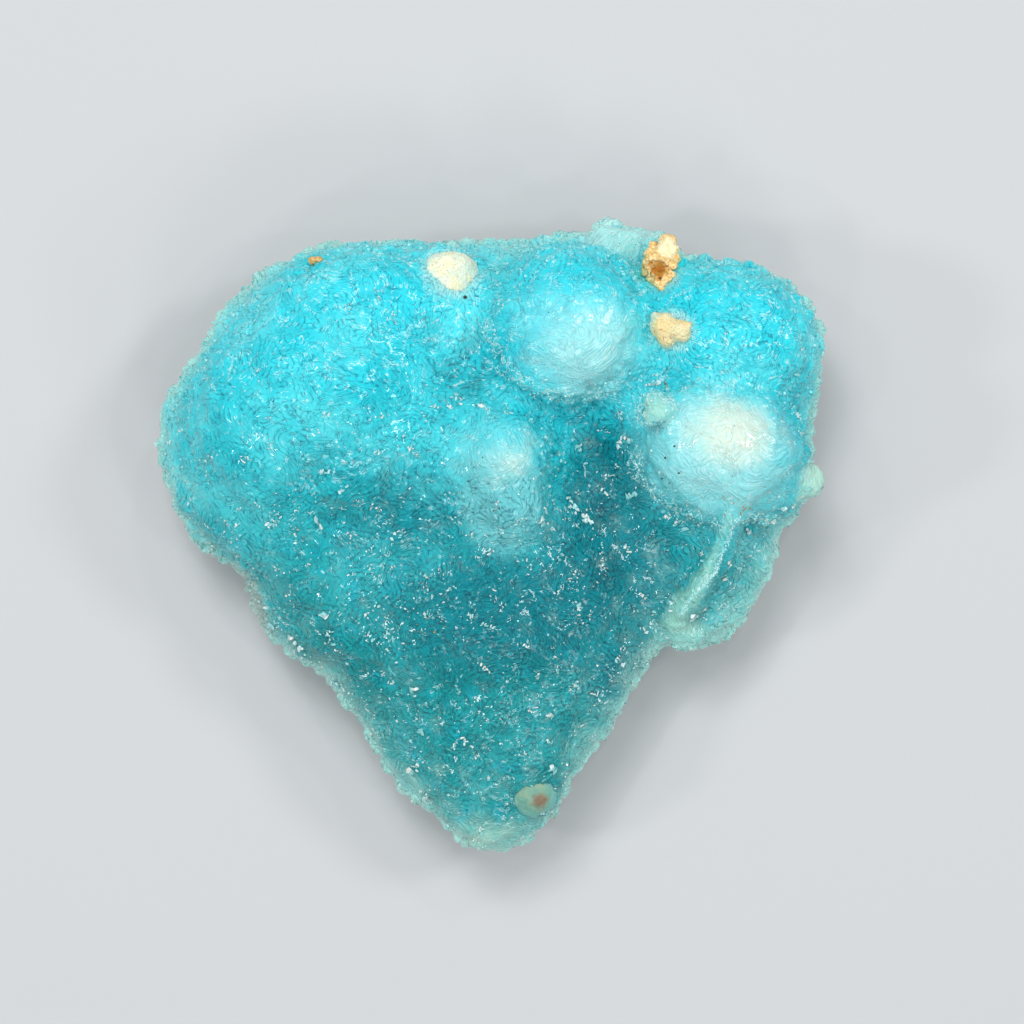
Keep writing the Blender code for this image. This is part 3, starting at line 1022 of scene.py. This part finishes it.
def body_colour(nodes, place):
    """The blue and where it deepens, partly as painted shade, pales and turns green, cream or lilac."""
    blotch = nodes.noise(place, 5.0, 3.0)
    # Darker towards the bottom and lighter up the face, with pale blotches that grow stronger up the face:
    # partly the blue's own tone, partly painted light falling from the top.
    high = nodes.span(nodes.height_on_face(place), -10.0, 17.0)
    base = nodes.mix(high, rgb(6, 136, 140), rgb(40, 214, 230))
    blotches = nodes.span(blotch, 0.35, 0.7, 0.0, 0.5)
    blotches = nodes.times(blotches, nodes.span(high, 0.0, 0.7, 0.3, 1.0))
    base = nodes.mix(blotches, base, rgb(112, 234, 240))
    small = nodes.noise(place, 1.5, 3.0)
    base = nodes.tint(base, small, 0.5, 0.28, 0.45, rgb(0, 176, 196))
    ragged = nodes.uneven(place, 1.6, 0.45, 0.65)
    for name, low, full, most, colour in TINTS:
        value = nodes.plus(nodes.attribute(name), ragged)
        base = nodes.tint(base, value, low, full, most, rgb(*colour))
    behind = nodes.span(nodes.plus(nodes.attribute("face"), ragged), 0.75, 0.3)
    return nodes.mix(behind, base, back_colour(nodes, place))


def back_colour(nodes, place):
    """Paler and greyer than the face, with cream and rusty stains where the rock broke away."""
    patch = nodes.noise(place, 4.2, 3.0, 0.6)
    base = nodes.mix(nodes.span(patch, 0.3, 0.65), rgb(84, 168, 174), rgb(136, 192, 186))
    stain = nodes.noise(place, 5.0, 3.0, 0.65)
    base = nodes.tint(base, stain, 0.56, 0.68, 0.7, rgb(196, 200, 178))
    return nodes.tint(base, stain, 0.66, 0.74, 0.7, rgb(164, 128, 84))


def hemimorphite_finish():
    nodes = Nodes("hemimorphite")
    place = nodes.place()
    base = body_colour(nodes, place)
    deep_and_shaded = nodes.attribute("deep_and_shaded")
    haze = nodes.span(nodes.noise(place, 0.9, 3.0, 0.7), 0.6, 0.74, 0.0, 0.4)
    haze = nodes.times(haze, nodes.span(deep_and_shaded, 0.0, 0.5, 1.0, 0.15))
    base = nodes.mix(haze, base, rgb(160, 222, 228))
    coarse, fine = creases(nodes, place)
    dark, light, painted_glint = lines(nodes, place, coarse, fine)
    speckle = nodes.noise(place, 0.17, 2.0, 0.6)
    # Painted highlight from the lines, with a fine pale speckle added, screened over the blue.
    light = nodes.math("MAXIMUM", light, nodes.span(speckle, 0.56, 0.7, 0.0, 0.6))
    base = nodes.mix(nodes.times(light, 0.8), base, (0.006, 0.25, 0.27, 1.0), "SCREEN")
    # Painted shade laid over the blue in the gaps and creases.
    base = nodes.mix(nodes.times(dark, 0.9), base, (0.05, 0.28, 0.36, 1.0), "MULTIPLY")
    # Painted glints laid over the blue as white dashes.
    base = nodes.mix(nodes.times(painted_glint, 0.7), base, rgb(206, 244, 244))
    vein = nodes.span(nodes.cell_edges(nodes.bent(place, 0.8, 2.0, 0.9), 0.9), 0.07, 0.0)
    vein = nodes.times(vein, nodes.span(nodes.attribute("lips"), 0.0, 0.4, 0.0, 0.7))
    base = nodes.mix(vein, base, rgb(206, 246, 244))
    return nodes.finish(
        Base_Color=base, Roughness=0.3, IOR=1.5, Specular_IOR_Level=0.12, Coat_Weight=0.45,
        Coat_Roughness=0.07, Subsurface_Weight=0.6, Subsurface_Radius=(0.3, 1.0, 1.1),
        Subsurface_Scale=1.3 * MM, Normal=nodes.bump(coarse, 0.07),
    )


def flake_and_painted_glint_finish():
    """White and cream flakes, some of them greyish and clear. Their white is partly the crystals' own and
    partly painted glint.
    """
    nodes = Nodes("flakes_and_painted_glints")
    place = nodes.place()
    shade = nodes.attribute("shade")
    warm = nodes.noise(place, 1.1)
    base = nodes.mix(nodes.span(warm, 0.42, 0.58), rgb(216, 240, 242), rgb(228, 232, 224))
    base = nodes.tint(base, shade, 0.55, 0.3, 1.0, rgb(140, 206, 208))
    cloud = nodes.noise(place, 0.12)
    base = nodes.tint(base, cloud, 0.35, 0.65, 0.3, rgb(110, 180, 186))
    return nodes.finish(Base_Color=base, Roughness=0.14, IOR=1.6, Normal=nodes.bump(cloud, 0.02))


def lip_crystal_finish():
    nodes = Nodes("lip_crystals")
    place = nodes.place()
    cloud = nodes.noise(place, 0.3, 3.0)
    base = nodes.mix(nodes.attribute("shade"), rgb(130, 220, 222), rgb(226, 248, 244))
    base = nodes.tint(base, cloud, 0.35, 0.65, 0.4, rgb(80, 190, 194))
    return nodes.finish(Base_Color=base, Roughness=0.18, IOR=1.6, Normal=nodes.bump(cloud, 0.02))


def rim_crystal_finish():
    nodes = Nodes("rim_crystals")
    place = nodes.place()
    low = nodes.mix(nodes.attribute("shade"), rgb(120, 176, 170), rgb(196, 222, 212))
    high = nodes.mix(nodes.attribute("shade"), rgb(96, 212, 220), rgb(180, 240, 238))
    base = nodes.mix(nodes.span(nodes.height_on_face(place), -2.0, 10.0), low, high)
    return nodes.finish(Base_Color=base, Roughness=0.2)


def speck_finish(name, dark, light, roughness):
    nodes = Nodes(name)
    cloud = nodes.noise(nodes.place(), 0.15)
    base = nodes.mix(nodes.span(cloud, 0.3, 0.7), dark, light)
    return nodes.finish(Base_Color=base, Roughness=roughness, Normal=nodes.bump(cloud, 0.03))


def limonite_finish(hollow, knob):
    """Cream and yellow grains, rusty in the hollow. Hollow and knob are x, y and a radius."""
    nodes = Nodes("limonite")
    place = nodes.place()
    ragged = nodes.uneven(place, 0.35, 1.6)
    grainy = nodes.noise(place, 0.16)
    base = nodes.mix(nodes.span(grainy, 0.35, 0.65), rgb(222, 176, 100), rgb(246, 224, 168))
    patch = nodes.noise(place, 0.5)
    rust = nodes.mix(nodes.span(patch, 0.4, 0.6), rgb(178, 124, 40), rgb(196, 118, 38))
    base = nodes.tint(base, nodes.far_from(place, hollow, ragged), 1.1, 0.4, 1.0, rust)
    base = nodes.tint(base, nodes.far_from(place, knob, ragged), 1.3, 0.8, 1.0, rgb(246, 232, 190))
    return nodes.finish(Base_Color=base, Roughness=0.75, Normal=nodes.bump(grainy, 0.06))


def cream_finish(name, warm, cool, spotted):
    """Dull cream that pales to greenish white at its edge, with rusty spots where they are wanted."""
    nodes = Nodes(name)
    place = nodes.place()
    grainy = nodes.noise(place, 0.13, 3.0)
    patch = nodes.noise(place, 0.9)
    base = nodes.mix(nodes.span(patch, 0.4, 0.62), warm, cool)
    edge = nodes.plus(nodes.attribute("out"), nodes.times(patch, 1.2))
    base = nodes.tint(base, edge, 1.5, 2.6, 0.7, rgb(196, 230, 218))
    base = nodes.tint(base, grainy, 0.5, 0.3, 0.5, rgb(170, 152, 110))
    spots = nodes.noise(place, 0.4)
    base = nodes.tint(base, spots, 0.64, 0.72, spotted, rgb(196, 130, 60))
    return nodes.finish(
        Base_Color=base, Roughness=0.85, Subsurface_Weight=0.5, Subsurface_Radius=(1.0, 0.8, 0.5),
        Subsurface_Scale=0.3 * MM, Normal=nodes.bump(grainy, 0.07),
    )


def rusty_finish(core):
    """Greenish grey round a brown core, given as x, y and a radius."""
    nodes = Nodes("rusty")
    place = nodes.place()
    far = nodes.far_from(place, core, nodes.uneven(place, 0.5, 0.9))
    cloud = nodes.noise(place, 0.8, 3.0)
    base = nodes.mix(nodes.span(cloud, 0.35, 0.65), rgb(108, 164, 148), rgb(140, 172, 148))
    edge = nodes.plus(nodes.attribute("out"), nodes.times(cloud, 0.6))
    base = nodes.tint(base, edge, 1.3, 1.9, 0.85, rgb(108, 182, 178))
    base = nodes.tint(base, far, 1.1, 0.3, 0.85, rgb(132, 98, 72))
    return nodes.finish(
        Base_Color=base, Roughness=0.45, Subsurface_Weight=0.7, Subsurface_Radius=(0.8, 1.0, 0.9),
        Subsurface_Scale=0.6 * MM, Normal=nodes.bump(cloud, 0.05),
    )


# The stage.

# Half of the floor's width, in metres.
FLOOR_REACH = 0.6

# Lights: name, place, size and watts, in metres. The key is seen in no reflection, so that the
# crystals glint in the small ones only, which stand on many sides.
KEY_LIGHT = ("key", (-0.08, 0.20, 0.45), 0.2, 1.0)
SIDE_LIGHTS = [
    ("left", (-0.34, -0.04, 0.32), 0.06, 0.3),
    ("right", (0.30, 0.12, 0.36), 0.09, 0.42),
    ("low", (0.10, -0.32, 0.38), 0.10, 0.22),
    ("low_right", (0.26, -0.24, 0.32), 0.12, 0.16),
]
GLINT_PLACES = [
    (-0.10, 0.22, 0.42), (0.12, 0.25, 0.40), (-0.20, 0.05, 0.42), (0.20, -0.05, 0.42),
    (0.02, -0.18, 0.45), (-0.12, -0.22, 0.40), (0.02, 0.08, 0.48),
]
GLINT_SIZE = 0.03
GLINT_WATTS = 0.09
WORLD_COLOUR = (0.95, 0.98, 1.0, 1.0)
WORLD_STRENGTH = 0.34


def floor():
    mesh = bpy.data.meshes.new("floor")
    corners = [(x * FLOOR_REACH, y * FLOOR_REACH, 0) for x, y in ((-1, -1), (1, -1), (1, 1), (-1, 1))]
    mesh.from_pydata(corners, [], [(0, 1, 2, 3)])
    made = new_object("floor", mesh)
    nodes = Nodes("floor")
    mesh.materials.append(nodes.finish(Base_Color=rgb(196, 198, 200), Roughness=0.9))


def soft_light(name, place, size, watts):
    """A round light that shines on the specimen."""
    lamp = bpy.data.lights.new(name, "AREA")
    lamp.shape = "DISK"
    lamp.size = size
    lamp.energy = watts
    made = new_object(name, lamp)
    made.location = place
    made.rotation_euler = (-Vector(place)).to_track_quat("-Z", "Y").to_euler()
    return made


def lights():
    soft_light(*KEY_LIGHT).visible_glossy = False
    for number, place in enumerate(GLINT_PLACES):
        soft_light(f"glint_{number}", place, GLINT_SIZE, GLINT_WATTS)
    for light in SIDE_LIGHTS:
        soft_light(*light)
    world = bpy.data.worlds.new("studio")
    world.use_nodes = True
    background = world.node_tree.nodes["Background"]
    background.inputs["Color"].default_value = WORLD_COLOUR
    background.inputs["Strength"].default_value = WORLD_STRENGTH
    bpy.context.scene.world = world


# The camera: the picture's scale at the rim's level, its width, what its middle shows, and the lens.
PIXELS_PER_MM = 13.4
FRAME_PIXELS = 1024
VIEW_MIDDLE = (1.53, 1.71)
LENS = 100.0
SENSOR = 36.0


def camera():
    """Straight down on the face, as far off as makes the rim as large as in the photograph."""
    seen = bpy.data.cameras.new("camera")
    seen.lens = LENS
    seen.sensor_width = SENSOR
    seen.clip_start = 0.005
    made = new_object("camera", seen)
    distance = FRAME_PIXELS / PIXELS_PER_MM * LENS / SENSOR
    made.location = (VIEW_MIDDLE[0] * MM, VIEW_MIDDLE[1] * MM, (RIM_LEVEL + distance) * MM)
    bpy.context.scene.camera = made


# All of it together.

def crumbs(ground):
    finish = limonite_finish(hollow=(12.15, 19.2, 0.85), knob=(12.9, 20.9, 0.7))
    crumb("limonite_crust", ground, finish)
    finish = speck_finish("ochre", rgb(190, 128, 56), rgb(240, 204, 140), 0.7)
    crumb("ochre_grain", ground, finish)
    finish = cream_finish("cream_left", rgb(240, 236, 204), rgb(228, 238, 218), 0.0)
    crumb("cream_nodule_left", ground, finish)
    finish = cream_finish("cream_right", rgb(236, 216, 162), rgb(234, 226, 184), 0.8)
    crumb("cream_nodule_right", ground, finish)
    finish = rusty_finish(core=(3.6, -19.5, 0.75))
    crumb("rusty_nodule", ground, finish)


def all_specks(ground):
    finish = speck_finish("dark_specks", rgb(24, 30, 26), rgb(60, 52, 40), 0.6)
    specks("dark_specks", DARK_SPECKS, ground, finish, 4)
    finish = speck_finish("rust_specks", rgb(120, 84, 30), rgb(196, 160, 70), 0.7)
    specks("rust_specks", RUST_SPECKS, ground, finish, 5)


def main():
    camera()
    ground = mass()
    crumbs(ground)
    flakes_and_painted_glints(ground)
    lip_crystals(ground)
    rim_crystals(ground)
    all_specks(ground)
    floor()
    lights()
    bpy.context.scene.view_settings.view_transform = "Standard"


main()
